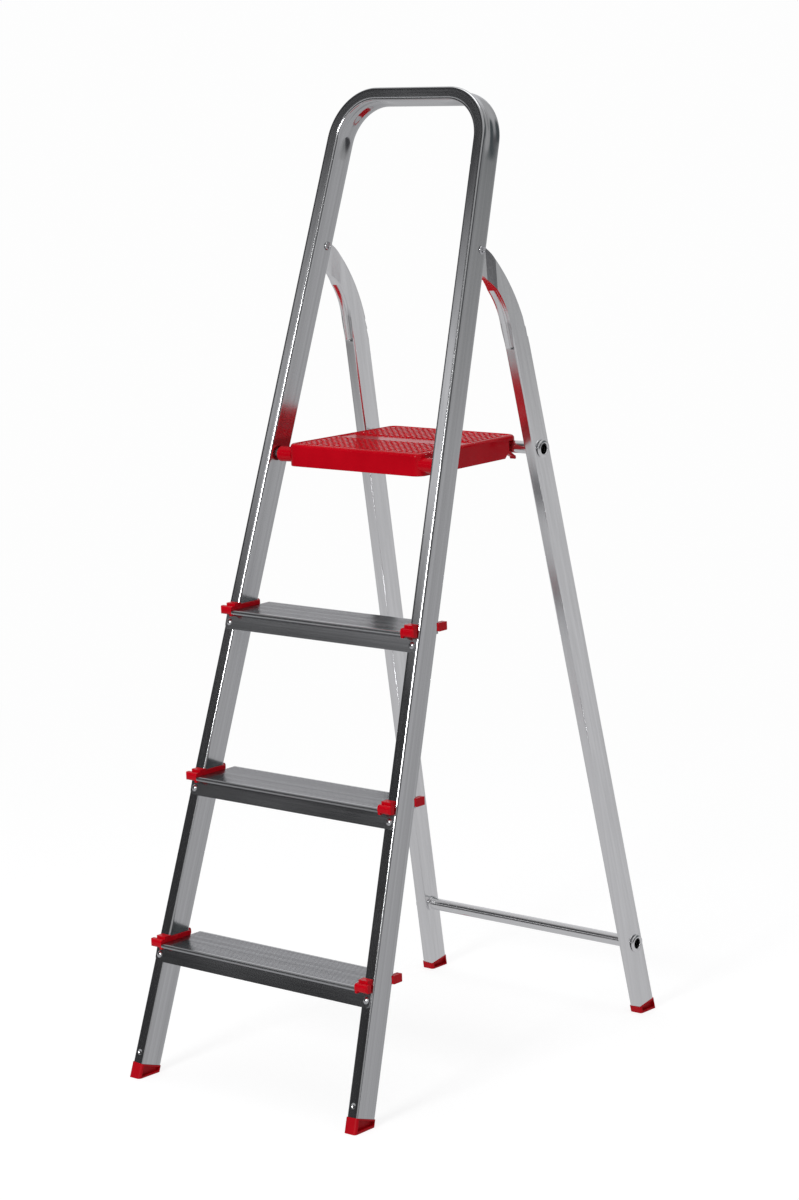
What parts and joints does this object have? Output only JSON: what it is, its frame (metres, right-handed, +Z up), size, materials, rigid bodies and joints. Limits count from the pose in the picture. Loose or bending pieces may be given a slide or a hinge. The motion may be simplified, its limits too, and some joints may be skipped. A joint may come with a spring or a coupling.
{
  "type": "step ladder",
  "caption": "Folding step ladder: leaning tube frame with a rounded handrail bow, ribbed treads, hinged moulded platform and splayed rear legs.",
  "frame": {"origin": "on the floor, under the middle of the opened ladder's footprint", "axes": "+Z up, +Y from the climbing side towards the rear legs, +X to the right seen from the climbing side"},
  "size_m": [0.4324, 0.6814, 1.3744],
  "materials": {
    "hoop_aluminium": "mill finish extruded tube, fine lengthwise grain, slightly dull",
    "leg_aluminium": "mill finish extruded tube, fine lengthwise grain",
    "tread_aluminium": "ribbed extrusion, satin",
    "bar_aluminium": "drawn round tube, satin, rolled ends",
    "rivet_steel": "zinc plated, satin",
    "platform_plastic": "moulded, semi gloss, studded top",
    "end_plastic": "moulded, semi gloss",
    "foot_plastic": "moulded, slightly dull from use"
  },
  "bodies": {
    "front_frame": {"front_hoop": "hoop_aluminium", "tread_lower": "tread_aluminium", "tread_rivets_lower": "rivet_steel", "tread_end_lower_left": "end_plastic", "tread_end_lower_right": "end_plastic", "tread_middle": "tread_aluminium", "tread_rivets_middle": "rivet_steel", "tread_end_middle_left": "end_plastic", "tread_end_middle_right": "end_plastic", "tread_upper": "tread_aluminium", "tread_rivets_upper": "rivet_steel", "tread_end_upper_left": "end_plastic", "tread_end_upper_right": "end_plastic", "front_foot_left": "foot_plastic", "pivot_rivet_left": "rivet_steel", "platform_pin_left": "rivet_steel", "front_foot_right": "foot_plastic", "pivot_rivet_right": "rivet_steel", "platform_pin_right": "rivet_steel"},
    "rear_frame": {"rear_foot_left": "foot_plastic", "rear_leg_left": "leg_aluminium", "rear_foot_right": "foot_plastic", "rear_leg_right": "leg_aluminium", "upper_crossbar": "bar_aluminium", "lower_crossbar": "bar_aluminium"},
    "platform": {"platform": "platform_plastic", "latch_fingers": "platform_plastic"}
  },
  "joints": [
    {"name": "rear_fold", "type": "hinge", "parent": "front_frame", "child": "rear_frame", "pos_m": [0, 0.06416, 1.15164], "axis": [-1, 0, 0], "range_deg": [0, 28]},
    {"name": "platform_tilt", "type": "hinge", "parent": "front_frame", "child": "platform", "pos_m": [0, -0.03909, 0.863], "axis": [1, 0, 0], "range_deg": [0, 70], "deforming": ["latch_fingers"]}
  ],
  "couplings": [
    {"joint": "platform_tilt", "follows": "rear_fold", "ratio": 2.5}
  ]
}
